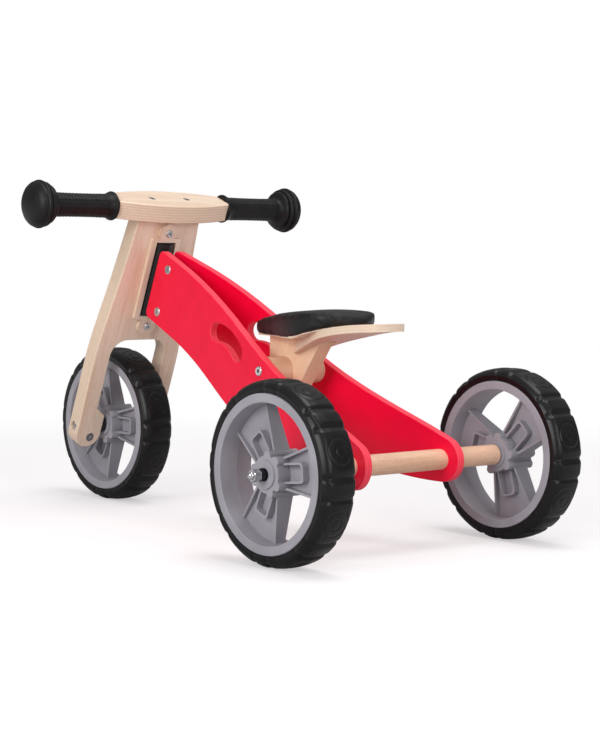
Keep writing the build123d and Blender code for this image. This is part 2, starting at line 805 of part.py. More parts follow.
def saddle_pad():
    crown = post_top + saddle_height
    front = saddle_front
    back = saddle_back
    low_back = board_underside(back) + board_thickness + 0.3
    bottom = [Line((front, post_top + 4), (front + base_margin, post_top))] + base_curve(0)
    tail = Line(bottom[-1] @ 1, (back, low_back))
    heel = ThreePointArc((back, low_back), (back - 4, crown - 3), (back - 17, crown + 2.5))
    top = Spline((back - 17, crown + 2.5), (113, crown), (70, crown - 3.5), (front + 18, crown - 8.5))
    toe = ThreePointArc((front + 18, crown - 8.5), (front + 5, post_top + 14), (front, post_top + 4))
    body = extrude_across(make_face(bottom + [tail, heel, top, toe]), 70)
    body &= saddle_outline(0)
    return body - saddle_base()


def seat_post():
    lower_y, lower_z = seat_bolts_at[1]
    front_low = post_top - post_front_length
    foot = post_foot_radius
    back_low = (lower_y + foot * 0.94, lower_z - foot * 0.34)
    outline = make_face(
        [
            Polyline(
                (post_front, front_low),
                (post_front, post_top),
                (post_back, post_top),
                (post_back, board_height_at_post),
                back_low,
            ),
            ThreePointArc(back_low, (lower_y, lower_z - foot), (lower_y - foot, lower_z)),
            Line((lower_y - foot, lower_z), (post_front, front_low)),
        ]
    )
    body = extrude_across(outline, post_thickness / 2)
    for y, z in seat_bolts_at:
        body = drilled(body, rod_hole, y, z)
    return body


def seat_spacers():
    solids = []
    for (y, z), radius in zip(seat_bolts_at, (upper_spacer_radius, lower_spacer_radius)):
        for side in (1, -1):
            disc = along_x(radius, side * post_thickness / 2, side * 60, y, z)
            disc = split(disc, bisect_by=panel_face(side, 0), keep=Keep.BOTTOM)
            solids.append(drilled(disc, rod_hole, y, z))
    return solids


def bolt_sets(places):
    bolts = []
    nuts = []
    for y, z in places:
        bolt, nut = cross_bolt(y, z, outer_half_gap(y, z))
        bolts.append(bolt)
        nuts.append(nut)
    return bolts, nuts


# ---- the whole trike ----
nodes = {}
nodes["left_panel"] = panel(1)
nodes["right_panel"] = panel(-1)
nodes["steering_block"] = steering_block()
frame_bolts, frame_nuts = bolt_sets(frame_bolts_at)
nodes["frame_bolts"] = group(frame_bolts)
nodes["frame_nuts"] = group(frame_nuts)
nodes["seat_post"] = seat_post()
nodes["seat_spacers"] = group(seat_spacers())
seat_bolts, seat_nuts = bolt_sets(seat_bolts_at)
nodes["seat_bolts"] = group(seat_bolts)
nodes["seat_nuts"] = group(seat_nuts)
nodes["seat_board"] = seat_board()
nodes["saddle_base"] = saddle_base()
nodes["saddle_pad"] = saddle_pad()
nodes["centre_dowel"] = centre_dowel()
nodes["left_spacer_dowel"] = spacer_dowel(1)
nodes["right_spacer_dowel"] = spacer_dowel(-1)
nodes["rear_axle_rod"] = rear_rod()
nodes["rear_washers"] = group(rear_washers())
nodes["rear_lock_nuts"] = group(rear_nuts())
nodes["rear_cap_nuts"] = group(cap_nuts())
nodes["fork"] = fork()
nodes["pivot_cover"] = cover_plate()
nodes["pivot_cover_screws"] = group(cover_screws())
nodes["pivot_pin"] = pivot_pin()
nodes["pivot_washers"] = group(pivot_washers())
nodes["fork_cross_nuts"] = group(lock_nuts())
nodes["handlebar_plate"] = handlebar_plate()
nodes["handlebar_tube"] = bar()
nodes["handlebar_screws"] = group(plate_screws())
nodes["left_grip"] = grip(1)
nodes["right_grip"] = grip(-1)
axle, axle_nuts, axle_spacers = front_axle_parts()
nodes["front_axle_rod"] = axle
nodes["front_axle_nuts"] = group(axle_nuts)
nodes["front_spacers"] = group(axle_spacers)

wheels = {
    "front": (0, -axle_y, 0),
    "rear_left": (wheel_x, axle_y, left_wheel_turn),
    "rear_right": (-wheel_x, axle_y, right_wheel_turn),
}
for name, (x, y, turn) in wheels.items():
    place = wheel_place(x, y, turn)
    nodes[name + "_rim"] = place * rim()
    nodes[name + "_tyre"] = place * tyre()
    nodes[name + "_bushes"] = group([place * bush for bush in bushes()])

os.makedirs("parts", exist_ok=True)
for name, shape in nodes.items():
    export_step(shape, "parts/" + name + ".step")
print(len(nodes), "nodes written")
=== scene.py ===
from math import atan2, cos, exp, hypot, pi, radians, sin

import bmesh
import bpy
from mathutils import Matrix, Vector


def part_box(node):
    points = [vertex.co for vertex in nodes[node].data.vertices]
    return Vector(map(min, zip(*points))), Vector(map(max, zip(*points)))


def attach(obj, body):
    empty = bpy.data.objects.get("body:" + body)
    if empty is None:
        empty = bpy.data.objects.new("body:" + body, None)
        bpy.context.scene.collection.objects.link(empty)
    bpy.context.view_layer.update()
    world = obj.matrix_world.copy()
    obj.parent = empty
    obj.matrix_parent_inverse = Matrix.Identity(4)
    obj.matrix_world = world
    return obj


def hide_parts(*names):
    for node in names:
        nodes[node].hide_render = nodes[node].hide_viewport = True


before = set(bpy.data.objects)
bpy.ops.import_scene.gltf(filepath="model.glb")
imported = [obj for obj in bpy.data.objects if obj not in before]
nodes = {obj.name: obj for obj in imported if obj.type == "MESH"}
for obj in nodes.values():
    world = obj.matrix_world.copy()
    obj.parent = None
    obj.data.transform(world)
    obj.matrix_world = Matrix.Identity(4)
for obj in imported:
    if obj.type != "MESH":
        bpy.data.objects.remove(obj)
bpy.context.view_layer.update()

mm = 0.001

lean = radians(21.1)  # the steering axis leans back
steerUp = Vector((0, sin(lean), cos(lean)))
steerBack = Vector((0, cos(lean), -sin(lean)))
sideways = Vector((1, 0, 0))
lengthways = Vector((0, 1, 0))
upright = Vector((0, 0, 1))
postGrain = Vector((0, 0.45, 0.89)).normalized()  # up the seat post, which leans back


def paint(color):
    # a screen colour, 0 to 255, as the linear colour that the shaders want
    linear = []
    for part in color:
        part = part / 255
        linear.append(part / 12.92 if part <= 0.04045 else ((part + 0.055) / 1.055) ** 2.4)
    return (*linear, 1)


class Wire:
    def __init__(self, finish, socket):
        self.finish = finish
        self.socket = socket

    def sum(self, operation, other, flipped=False):
        first, second = (other, self) if flipped else (self, other)
        return self.finish.node("ShaderNodeMath", {"operation": operation}, {0: first, 1: second})

    def __add__(self, other):
        return self.sum("ADD", other)

    def __sub__(self, other):
        return self.sum("SUBTRACT", other)

    def __rsub__(self, other):
        return self.sum("SUBTRACT", other, True)

    def __mul__(self, other):
        return self.sum("MULTIPLY", other)

    def __truediv__(self, other):
        return self.sum("DIVIDE", other)

    def __abs__(self):
        return self.finish.node("ShaderNodeMath", {"operation": "ABSOLUTE"}, {0: self})

    __radd__ = __add__
    __rmul__ = __mul__


class Finish:
    def __init__(self, name):
        self.material = bpy.data.materials.new(name)
        self.material.use_nodes = True
        self.tree = self.material.node_tree
        self.tree.nodes.clear()
        self.place = self.node("ShaderNodeTexCoord", output=3)
        self.facing = self.node("ShaderNodeTexCoord", output=1)

    def node(self, kind, settings=None, inputs=None, output=0):
        made = self.tree.nodes.new(kind)
        for key, value in (settings or {}).items():
            if key == "stops":
                for index, (position, color) in enumerate(value):
                    stop = made.color_ramp.elements
                    stop = stop[index] if index < 2 else stop.new(position)
                    stop.position = position
                    stop.color = color
            else:
                setattr(made, key, value)
        for key, value in (inputs or {}).items():
            if isinstance(value, Wire):
                self.tree.links.new(value.socket, made.inputs[key])
            else:
                made.inputs[key].default_value = value
        if made.outputs:
            return Wire(self, made.outputs[output])

    def mix(self, factor, first, second):
        # inputs 6 and 7 and output 2 are the node's colours
        return self.node("ShaderNodeMix", {"data_type": "RGBA"}, {0: factor, 6: first, 7: second}, 2)

    def ramp(self, value, low, high):
        # 0 below low, 1 above high, smooth between
        inputs = {"Value": value, "From Min": low, "From Max": high}
        return self.node("ShaderNodeMapRange", {"interpolation_type": "SMOOTHSTEP"}, inputs)

    def along(self, vector, axis):
        inputs = {0: vector, 1: tuple(axis)}
        return self.node("ShaderNodeVectorMath", {"operation": "DOT_PRODUCT"}, inputs, 1)

    def stretched(self, scale):
        return self.node("ShaderNodeMapping", None, {"Vector": self.place, "Scale": scale})

    def layers(self, depth):
        # rises to 1 and falls to 0 by turns, one ply each way
        return self.node("ShaderNodeMath", {"operation": "PINGPONG"}, {0: depth, 1: 1.0})

    def grainSpace(self, axes, scales):
        # the place measured along three axes, each at its own scale
        parts = [self.along(self.place, axis) * scale for axis, scale in zip(axes, scales)]
        return self.node("ShaderNodeCombineXYZ", None, dict(enumerate(parts)))

    def noise(self, vector, scale=1.0, detail=2.0, roughness=0.5, distortion=0.0):
        inputs = {"Vector": vector, "Scale": scale, "Detail": detail, "Roughness": roughness,
                  "Distortion": distortion}
        return self.node("ShaderNodeTexNoise", None, inputs)

    def bump(self, height, distance, strength):
        inputs = {"Height": height, "Distance": distance, "Strength": strength}
        return self.node("ShaderNodeBump", None, inputs)

    def close(self, values):
        shader = self.node("ShaderNodeBsdfPrincipled", None, values)
        self.node("ShaderNodeOutputMaterial", None, {"Surface": shader})
        return self.material


def plywood(name, look, grain, face, bend=None):
    # grain is the way the fibres of the outer ply run, face is the way through the plies
    finish = Finish(name)
    axes = (grain, face.cross(grain), face)
    flat = finish.ramp(abs(finish.along(finish.facing, face)), 0.6, 0.85)
    figure = finish.noise(
        finish.grainSpace(axes, look["figureScale"]), detail=3, roughness=0.55, distortion=0.6)
    streak = finish.noise(finish.grainSpace(axes, look["streakScale"]), detail=3, roughness=0.6)
    pores = finish.ramp(finish.noise(finish.grainSpace(axes, look["poreScale"]), detail=1), 0.66, 0.74)
    top = finish.mix(finish.ramp(figure, 0.3, 0.72), paint(look["pale"]), paint(look["warm"]))
    top = finish.mix(finish.ramp(streak, 0.42, 0.8) * 0.5, top, paint(look["streak"]))
    top = finish.mix(pores * 0.35, top, paint(look["pore"]))
    wander = finish.noise(finish.grainSpace(axes, look["wanderScale"]))
    depth = finish.along(finish.place, face)
    if bend:
        run = finish.along(finish.place, grain) - bend["from"]
        depth = depth - run * (bend["slope"] - run * bend["curve"])
    depth = depth / look["ply"] + wander * look["wander"] + look["shift"]
    step = finish.layers(depth)
    plies = finish.ramp(step, 0.42, 0.58)
    glue = 1 - finish.ramp(abs(step - 0.5), 0.02, 0.1)
    fibre = finish.noise(finish.grainSpace(axes, look["fibreScale"]), detail=3, roughness=0.6)
    side = finish.mix(plies * look["contrast"], paint(look["edgePale"]), paint(look["edgeWarm"]))
    side = finish.mix(finish.ramp(fibre, 0.4, 0.8) * 0.4, side, paint(look["streak"]))
    gaps = finish.ramp(finish.noise(finish.grainSpace(axes, look["gapScale"])), 0.7, 0.76)
    side = finish.mix(glue * look["glue"], side, paint(look["pore"]))
    side = finish.mix(gaps * glue * 0.8, side, paint(look["gap"]))
    relief = streak * 0.5 + (1 - flat) * (plies * 0.8 + fibre * 0.6)
    return finish.close({
        "Base Color": finish.mix(flat, side, top),
        "Roughness": 0.44 + streak * 0.12,
        "Specular IOR Level": 0.35,
        "Coat Weight": look["coat"],
        "Coat Roughness": 0.22,
        "Normal": finish.bump(relief, distance=0.12 * mm, strength=0.6),
    })


birch = {
    "pale": (238, 217, 198), "warm": (228, 200, 176), "streak": (210, 172, 140), "pore": (156, 114, 80),
    "edgePale": (234, 212, 190), "edgeWarm": (216, 186, 158), "gap": (70, 48, 32), "coat": 0.12,
    "ply": 1.45 * mm, "shift": 0.2, "wander": 0.35, "contrast": 0.6, "glue": 0.16,
    # marks to a metre along the grain, across it and through the plies
    "figureScale": (7, 60, 60), "streakScale": (26, 620, 400), "poreScale": (130, 1900, 900),
    "wanderScale": (9, 9, 9), "fibreScale": (150, 150, 900), "gapScale": (45, 45, 500),
}
seatBirch = {**birch, "wander": 0.1, "contrast": 0.3, "glue": 0.08}
coverBirch = {**birch, "ply": 1.35 * mm}
seatBend = {  # the seat board rises back from the post and levels out
    "from": 0.124, "slope": 0.30, "curve": 1.494,
}


def solidWood(name, look, grain):
    finish = Finish(name)
    across = Vector((0, 0.6, 0.8)) if abs(grain.x) > 0.5 else sideways  # any way that isn't along the grain
    across = (across - grain * across.dot(grain)).normalized()
    axes = (grain, across, grain.cross(across))
    figure = finish.noise(
        finish.grainSpace(axes, woodScale["figure"]), detail=3, roughness=0.55, distortion=0.5)
    fibre = finish.noise(finish.grainSpace(axes, woodScale["fibre"]), detail=3, roughness=0.6)
    fleck = finish.ramp(finish.noise(finish.grainSpace(axes, woodScale["fleck"]), detail=1), 0.62, 0.7)
    color = finish.mix(finish.ramp(figure, 0.3, 0.7), paint(look["pale"]), paint(look["warm"]))
    color = finish.mix(finish.ramp(fibre, 0.4, 0.8) * 0.4, color, paint(look["streak"]))
    color = finish.mix(fleck * 0.3, color, paint(look["fleck"]))
    endGrain = finish.ramp(abs(finish.along(finish.facing, grain)), 0.7, 0.9)
    color = finish.mix(endGrain * 0.5, color, paint(look["streak"]))
    return finish.close({
        "Base Color": color,
        "Roughness": 0.42 + fibre * 0.14,
        "Specular IOR Level": 0.35,
        "Coat Weight": 0.12,
        "Coat Roughness": 0.25,
        "Normal": finish.bump(fibre + fleck * -0.5, distance=0.1 * mm, strength=0.5),
    })


woodScale = {  # marks to a metre along the grain and twice across it
    "figure": (5, 42, 42), "fibre": (30, 700, 700), "fleck": (210, 1500, 1500),
}
beech = {
    "pale": (240, 200, 172), "warm": (222, 176, 146), "streak": (196, 142, 108), "fleck": (156, 102, 72),
}
paleBeech = {
    "pale": (244, 216, 184), "warm": (234, 200, 164), "streak": (214, 172, 134), "fleck": (184, 136, 98),
}

# the edge colours are lighter than the face, partly the paint on the ply edges and partly a painted highlight
lacquer = {
    "face": (252, 0, 60), "faceDeep": (244, 0, 54), "edge": (255, 58, 80), "edgePale": (255, 80, 98),
    "ply": 1.5 * mm, "cloudScale": 38, "peelScale": 520, "fibreScale": (900, 90, 90),
}


def redLacquer():
    # smooth on the panels' faces, with the plies showing through on their edges; the edges are painted
    # lighter than the faces, partly the paint on the ply edges and partly a painted highlight of the light
    # from above
    finish = Finish("redLacquer")
    look = lacquer
    edge = 1 - finish.ramp(abs(finish.along(finish.facing, sideways)), 0.6, 0.9)
    cloud = finish.noise(finish.place, scale=look["cloudScale"], detail=3, roughness=0.6)
    face = finish.mix(finish.ramp(cloud, 0.25, 0.75), paint(look["face"]), paint(look["faceDeep"]))
    through = finish.along(finish.place, sideways) / look["ply"]
    plies = finish.layers(through + cloud * 0.4)
    # the edges' colour with the plies, lighter than the face partly as a painted highlight
    edgePliesAndHighlight = finish.mix(finish.ramp(plies, 0.3, 0.7), paint(look["edge"]), paint(look["edgePale"]))
    peel = finish.noise(finish.place, scale=look["peelScale"])
    fibre = finish.noise(finish.stretched(look["fibreScale"]), detail=3, roughness=0.6)
    relief = peel * 0.35 + edge * (fibre * 0.9 + plies * 0.6)
    return finish.close({
        "Base Color": finish.mix(edge, face, edgePliesAndHighlight),
        "Roughness": 0.36 + cloud * 0.1 + edge * 0.1,
        "Specular IOR Level": 0.25,
        "Coat Weight": 0.06,
        "Coat Roughness": 0.18,
        "Normal": finish.bump(relief, distance=0.09 * mm, strength=0.55),
    })


def moulded(name, look):
    finish = Finish(name)
    flow = finish.noise(finish.place, scale=24, detail=3, roughness=0.55)
    skin = finish.noise(finish.place, scale=look["skinScale"], roughness=0.6)
    tone = finish.mix(finish.ramp(flow, 0.3, 0.75), paint(look["pale"]), paint(look["deep"]))
    return finish.close({
        "Base Color": finish.mix(finish.ramp(skin, 0.35, 0.75) * 0.12, tone, paint(look["deep"])),
        "Roughness": look["roughness"] + skin * 0.12,
        "Specular IOR Level": 0.45,
        "Normal": finish.bump(skin, distance=0.05 * mm, strength=0.6),
    })


greyPlastic = {"pale": (164, 161, 169), "deep": (150, 147, 155), "roughness": 0.4, "skinScale": 1700}
blackPlastic = {"pale": (24, 23, 25), "deep": (14, 13, 15), "roughness": 0.42, "skinScale": 1500}

foam = {
    "deep": (10, 9, 11), "pale": (17, 15, 18), "dust": (62, 60, 62), "dustCover": 0.08,
    "cloudScale": 30, "cellScale": 1500, "dustScale": 90,
}


def foamRubber():
    finish = Finish("foamRubber")
    look = foam
    cloud = finish.noise(finish.place, scale=look["cloudScale"], detail=4, roughness=0.6)
    cells = finish.noise(finish.place, scale=look["cellScale"], roughness=0.6)
    dust = finish.ramp(
        finish.noise(finish.place, scale=look["dustScale"], detail=4, roughness=0.7), 0.55, 0.8)
    tone = finish.mix(finish.ramp(cloud, 0.3, 0.7), paint(look["deep"]), paint(look["pale"]))
    return finish.close({
        "Base Color": finish.mix(dust * look["dustCover"], tone, paint(look["dust"])),
        "Roughness": 0.24 + cloud * 0.12 + cells * 0.08,
        "Specular IOR Level": 0.3,
        "Normal": finish.bump(cells, distance=0.06 * mm, strength=0.7),
    })


gripSkin = {"deep": (12, 10, 11), "pale": (20, 17, 18), "cloudScale": 60, "skinScale": 1300}


def gripRubber():
    finish = Finish("gripRubber")
    look = gripSkin
    cloud = finish.noise(finish.place, scale=look["cloudScale"], detail=3, roughness=0.6)
    skin = finish.noise(finish.place, scale=look["skinScale"], roughness=0.6)
    return finish.close({
        "Base Color": finish.mix(finish.ramp(cloud, 0.3, 0.7), paint(look["deep"]), paint(look["pale"])),
        "Roughness": 0.42 + cloud * 0.12,
        "Specular IOR Level": 0.28,
        "Normal": finish.bump(skin, distance=0.07 * mm, strength=0.6),
    })


coverSkin = {
    "deep": (8, 7, 9), "pale": (18, 16, 19), "cloudScale": 45, "cellScale": 820.0, "fineScale": 2200,
    "creaseScale": (70, 120, 200),
}


def leatherette():
    finish = Finish("leatherette")
    look = coverSkin
    cloud = finish.noise(finish.place, scale=look["cloudScale"], detail=3, roughness=0.6)
    cell = finish.node("ShaderNodeTexVoronoi", {"feature": "DISTANCE_TO_EDGE"},
        {"Vector": finish.place, "Scale": look["cellScale"]})
    fine = finish.noise(finish.place, scale=look["fineScale"], roughness=0.6)
    crease = finish.noise(
        finish.stretched(look["creaseScale"]), detail=4, roughness=0.7, distortion=1.2)
    creases = finish.ramp(crease, 0.56, 0.64)
    grain = finish.ramp(cell, 0.0, 0.25)
    relief = grain * 0.8 + fine * 0.3 + creases * 0.5
    # paler on the raised grain and darker in its hollows, and paler or darker at random
    grainTone = grain * 0.5 + cloud * 0.5
    return finish.close({
        "Base Color": finish.mix(grainTone, paint(look["deep"]), paint(look["pale"])),
        "Roughness": 0.26 + cloud * 0.14 + grain * 0.06,
        "Specular IOR Level": 0.35,
        "Normal": finish.bump(relief, distance=0.16 * mm, strength=0.7),
    })


def plated(name, look):
    finish = Finish(name)
    brushed = finish.noise(finish.stretched((900, 160, 160)), detail=3, roughness=0.6)
    spots = finish.noise(finish.place, scale=420, detail=3, roughness=0.6)
    dull = [part * 0.78 for part in look["color"]]
    return finish.close({
        "Base Color": finish.mix(finish.ramp(spots, 0.4, 0.8) * 0.5, paint(look["color"]), paint(dull)),
        "Metallic": 1.0,
        "Roughness": look["roughness"] + brushed * 0.14,
        "Normal": finish.bump(brushed, distance=0.03 * mm, strength=0.5),
    })


finishes = {
    "red": redLacquer(),
    "forkPly": plywood("forkPly", birch, steerUp, steerBack),
    "platePly": plywood("platePly", birch, sideways, steerUp),
    "seatPly": plywood("seatPly", seatBirch, lengthways, upright, seatBend),
    "coverPly": plywood("coverPly", coverBirch, steerUp, steerBack),
    "dowelBeech": solidWood("dowelBeech", beech, sideways),
    "postBeech": solidWood("postBeech", paleBeech, postGrain),
    "rimGrey": moulded("rimGrey", greyPlastic),
    "nylon": moulded("nylon", blackPlastic),
    "foam": foamRubber(),
    "grip": gripRubber(),
    "saddle": leatherette(),
    "zinc": plated("zinc", {"color": (214, 214, 216), "roughness": 0.12}),
    "darkZinc": plated("darkZinc", {"color": (60, 60, 64), "roughness": 0.24}),
}

cadFinish = {
    "left_panel": "red", "right_panel": "red", "steering_block": "nylon", "frame_bolts": "zinc",
    "frame_nuts": "zinc", "seat_post": "postBeech", "seat_spacers": "dowelBeech", "seat_bolts": "zinc",
    "seat_nuts": "zinc", "seat_board": "seatPly", "saddle_base": "seatPly", "centre_dowel": "dowelBeech",
    "left_spacer_dowel": "dowelBeech", "right_spacer_dowel": "dowelBeech", "rear_axle_rod": "zinc",
    "rear_washers": "darkZinc", "rear_lock_nuts": "darkZinc", "rear_cap_nuts": "zinc", "fork": "forkPly",
    "pivot_cover": "coverPly", "pivot_cover_screws": "zinc", "pivot_pin": "zinc", "pivot_washers": "nylon",
    "fork_cross_nuts": "zinc", "handlebar_plate": "platePly", "handlebar_tube": "zinc",
    "handlebar_screws": "zinc", "front_axle_rod": "zinc", "front_axle_nuts": "zinc", "front_spacers": "nylon",
    "front_rim": "rimGrey", "rear_left_rim": "rimGrey", "rear_right_rim": "rimGrey",
    "front_bushes": "rimGrey", "rear_left_bushes": "rimGrey", "rear_right_bushes": "rimGrey",
}
for name, finishName in cadFinish.items():
    for holder in nodes[name].material_slots:
        holder.material = finishes[finishName]
print("finishes ready")


def centreOf(nodeName):
    low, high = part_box(nodeName)
    return (low + high) / 2


def finished(bm, name, finishName, body, replaced):
    # makes the bmesh a piece of the trike in place of one CAD node
    mesh = bpy.data.meshes.new(name)
    bm.to_mesh(mesh)
    bm.free()
    piece = bpy.data.objects.new(name, mesh)
    bpy.context.scene.collection.objects.link(piece)
    for face in mesh.polygons:
        face.use_smooth = True
    mesh.materials.append(finishes[finishName])
    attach(piece, body)
    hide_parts(replaced)


def spunAboutX(outline, steps):
    # outline holds (distance along X, radius) in mm; a closed outline repeats its first point
    bm = bmesh.new()
    ring = [bm.verts.new((x * mm, 0, radius * mm)) for x, radius in outline]
    for first, second in zip(ring, ring[1:]):
        bm.edges.new((first, second))
    bmesh.ops.spin(bm, geom=bm.verts[:] + bm.edges[:], cent=(0, 0, 0), axis=(1, 0, 0), angle=2 * pi,
        steps=steps, use_merge=True, use_duplicate=False)
    bmesh.ops.remove_doubles(bm, verts=bm.verts, dist=0.01 * mm)
    bmesh.ops.recalc_face_normals(bm, faces=bm.faces)
    return bm


def resampled(points, spacing):
    # a path through the points with a point about every spacing
    path = [points[0]]
    for (x0, y0), (x1, y1) in zip(points, points[1:]):
        count = max(1, round(hypot(x1 - x0, y1 - y0) / spacing))
        path += [(x0 + (x1 - x0) * i / count, y0 + (y1 - y0) * i / count) for i in range(1, count + 1)]
    return path


def arc(centre, radius, start, end, count):
    # degrees are counted from straight out, towards the end of the axle or the bar
    angles = [radians(start + (end - start) * i / count) for i in range(count + 1)]
    return [(centre[0] + radius * sin(a), centre[1] + radius * cos(a)) for a in angles]


tread = {
    "radius": 85.0, "crownAt": 5.5, "crownFall": 0.2, "crownHalf": 10.7, "half": 18.7,
    "shoulderCentre": (10.14, 75.2), "shoulderRadius": 9.0, "shoulderFrom": 3.6, "shoulderTo": 71.9,
    "shoulderSteps": 14, "wallStart": 72.9, "wallEnd": 78.0, "seatRadius": 67.1, "seatHalf": 15.8,
    "repeats": 8, "segments": 512, "spacing": 0.9, "reliefFrom": 73.1,
    "valleyAt": 23.2, "valleyWidth": 2.5, "valleyDepth": 1.9, "valleyHalf": 17.0, "valleyFade": 6.0,
    "ringRadius": 13.0, "ringWidth": 0.6, "ringDepth": 0.75, "eyeRadius": 5.4, "eyeDepth": 0.7,
    "padHalfLength": 6.6, "padHalfWidth": 14.5, "padCorner": 4.0, "padLine": 0.55, "padDepth": 0.7,
    "beadAt": 77.6, "beadHeight": 0.55, "beadWidth": 0.6, "beadReach": 2.5, "beadTop": 80.0,
}
tyreTurns = {"front": 20.0, "rear_left": 18.5, "rear_right": 17.0}  # how far each tread is turned, degrees


def treadRelief(around, across):
    # height in mm at a place around the tyre, from the middle of a ring, and across it, from the crown
    look = tread
    fade = 1 - min(1, max(0, (abs(across) - look["valleyHalf"]) / look["valleyFade"]))
    valley = exp(-(((abs(around) - look["valleyAt"]) / look["valleyWidth"]) ** 2))
    valley *= look["valleyDepth"] * fade
    reach = hypot(around, across)
    ring = exp(-(((reach - look["ringRadius"]) / look["ringWidth"]) ** 2)) * look["ringDepth"]
    eye = exp(-(((reach - look["eyeRadius"]) / look["ringWidth"]) ** 2)) * look["eyeDepth"]
    period = 2 * pi * look["radius"] / look["repeats"]
    fromPad = period / 2 - abs(around)
    corner = look["padCorner"]
    outX = max(0, abs(fromPad) - look["padHalfLength"] + corner)
    outY = max(0, abs(across) - look["padHalfWidth"] + corner)
    edge = hypot(outX, outY) - corner if outX and outY else max(
        abs(fromPad) - look["padHalfLength"], abs(across) - look["padHalfWidth"])
    line = exp(-((edge / look["padLine"]) ** 2)) * look["padDepth"]
    return -valley - ring - eye - line


def tyre(name, body, turn):
    look = tread
    middle, height = look["shoulderCentre"]
    bendFrom, bendTo = look["shoulderFrom"], look["shoulderTo"]
    shoulder = arc((middle, height), look["shoulderRadius"], bendFrom, bendTo, look["shoulderSteps"])
    half = [(0, look["radius"]), (look["crownAt"], look["radius"] - look["crownFall"])] + shoulder
    half += [(look["half"], look["wallEnd"]), (look["half"], look["wallStart"])]
    half = resampled(half, look["spacing"])
    half += [(look["seatHalf"], look["wallStart"]), (look["seatHalf"], look["seatRadius"])]
    other = [(-x, radius) for x, radius in reversed(half)]
    outline = other + half[1:] + [other[0]]
    bm = spunAboutX(outline, look["segments"])
    bm.normal_update()
    period = 2 * pi / look["repeats"]
    shifts = []
    for vert in bm.verts:
        x = vert.co.x / mm
        radius = hypot(vert.co.y, vert.co.z) / mm
        if radius < look["reliefFrom"]:
            continue
        angle = atan2(vert.co.z, vert.co.y) - turn
        around = ((angle + period / 2) % period - period / 2) * look["radius"]
        if abs(x) < look["crownHalf"]:
            across = x
        else:
            swept = atan2(abs(x) - middle, max(radius - height, 0.01)) - radians(bendFrom)
            swept = max(0, min(swept, radians(bendTo - bendFrom)))
            across = look["crownHalf"] + look["shoulderRadius"] * swept
        relief = treadRelief(around, across)
        if abs(x) > look["half"] - look["beadReach"] and radius < look["beadTop"]:
            relief += look["beadHeight"] * exp(-(((radius - look["beadAt"]) / look["beadWidth"]) ** 2))
        shifts.append((vert, vert.normal * relief * mm))
    for vert, shift in shifts:
        vert.co += shift
    bmesh.ops.translate(bm, vec=centreOf(name + "_tyre"), verts=bm.verts)
    finished(bm, name + "_tyre_tread", "foam", body, name + "_tyre")


for wheel, turn in tyreTurns.items():
    tyre(wheel, wheel + "_wheel", radians(turn))
print("tyres ready")


handle = {
    "segments": 144, "spacing": 0.8, "bodyFrom": 83.0, "bodyTo": 147.0, "bodyInside": 11.0,
    "relief": 0.3, "reliefFade": 3.0, "rows": 9, "twist": 0.75,
    "ridgeRound": 2.1, "ridgeSet": 1.6, "ridgeTurn": 75, "ridgeSteps": 10,
    "grooveSet": 0.9, "grooveDepth": 3.0,
}
# (along the bar, radius) in mm: the flange and body, the end's rounded rings, and the round end
handleOutline = [
    (72.1, 6.2), (72.1, 13.2), (72.5, 14.4), (73.3, 15.2), (74.4, 15.4), (75.8, 14.9), (78.0, 13.7),
    (80.5, 12.9), (83.0, 12.5), (97.0, 12.2), (113.0, 12.1), (130.0, 12.2), (147.0, 12.6), (150.0, 13.6),
]
handleRidges = [(152.4, 20.6), (156.9, 23.3), (162.2, 24.9)]
handleDome = [
    (168.4, 23.2), (171.0, 21.2), (173.4, 18.0), (175.2, 13.6), (176.3, 8.6), (176.8, 3.6), (176.9, 0.0),
]


def handleProfile():
    look = handle
    path = list(handleOutline)
    bend = look["ridgeRound"]
    for along, radius in handleRidges:
        path.append((along - look["grooveSet"], radius - look["grooveDepth"]))
        centre = (along + look["ridgeSet"], radius - bend)
        path += arc(centre, bend, -look["ridgeTurn"], look["ridgeTurn"], look["ridgeSteps"])
    return path + handleDome


def handleGrip(name, side):
    look = handle
    bm = spunAboutX(resampled(handleProfile(), look["spacing"]), look["segments"])
    bm.normal_update()
    for vert in bm.verts:
        x = vert.co.x / mm
        radius = hypot(vert.co.y, vert.co.z) / mm
        if look["bodyFrom"] < x < look["bodyTo"] and radius > look["bodyInside"]:
            around = look["rows"] * atan2(vert.co.z, vert.co.y)
            along = x * look["twist"]
            fromEnd = min(x - look["bodyFrom"], look["bodyTo"] - x)
            fade = min(1, fromEnd / look["reliefFade"])
            wave = sin(around + along) * sin(around - along)
            vert.co += vert.normal * wave * look["relief"] * fade * mm
    bmesh.ops.scale(bm, vec=(side, 1, 1), verts=bm.verts)
    bmesh.ops.recalc_face_normals(bm, faces=bm.faces)
    middle = centreOf("handlebar_tube")
    bmesh.ops.translate(bm, vec=(0, middle.y, middle.z), verts=bm.verts)
    finished(bm, name + "_moulded", "grip", "steering", name)


handleGrip("left_grip", 1)
handleGrip("right_grip", -1)
print("grips ready")


cushion = {
    "baseWider": 1.06, "wrap": 1.3, "voxel": 0.004, "smoothing": 3, "shrink": 1.4,
    "heldAbove": 4.0, "heldFrom": 0.09, "heldSlope": 0.22,
    "pressure": 4.0, "frames": 20, "stiffness": 12.0, "quality": 6, "cap": 0.0045, "fill": 0.85,
    "foldAt": (0.028, 0.158, 0.212), "foldReach": 0.019, "foldDepth": 0.75, "folds": 9, "foldBend": 70,
    "sideRoom": 0.3, "topRoom": 0.5,
}


def mergedCopy(nodeName, name):
    # a CAD node's mesh as a new object, with its loose triangles joined
    piece = nodes[nodeName].copy()
    piece.data = nodes[nodeName].data.copy()
    piece.name = name
    for key in list(piece.keys()):
        del piece[key]
    piece.parent = None
    bpy.context.scene.collection.objects.link(piece)
    bm = bmesh.new()
    bm.from_mesh(piece.data)
    bmesh.ops.remove_doubles(bm, verts=bm.verts, dist=0.02 * mm)
    bm.to_mesh(piece.data)
    bm.free()
    return piece


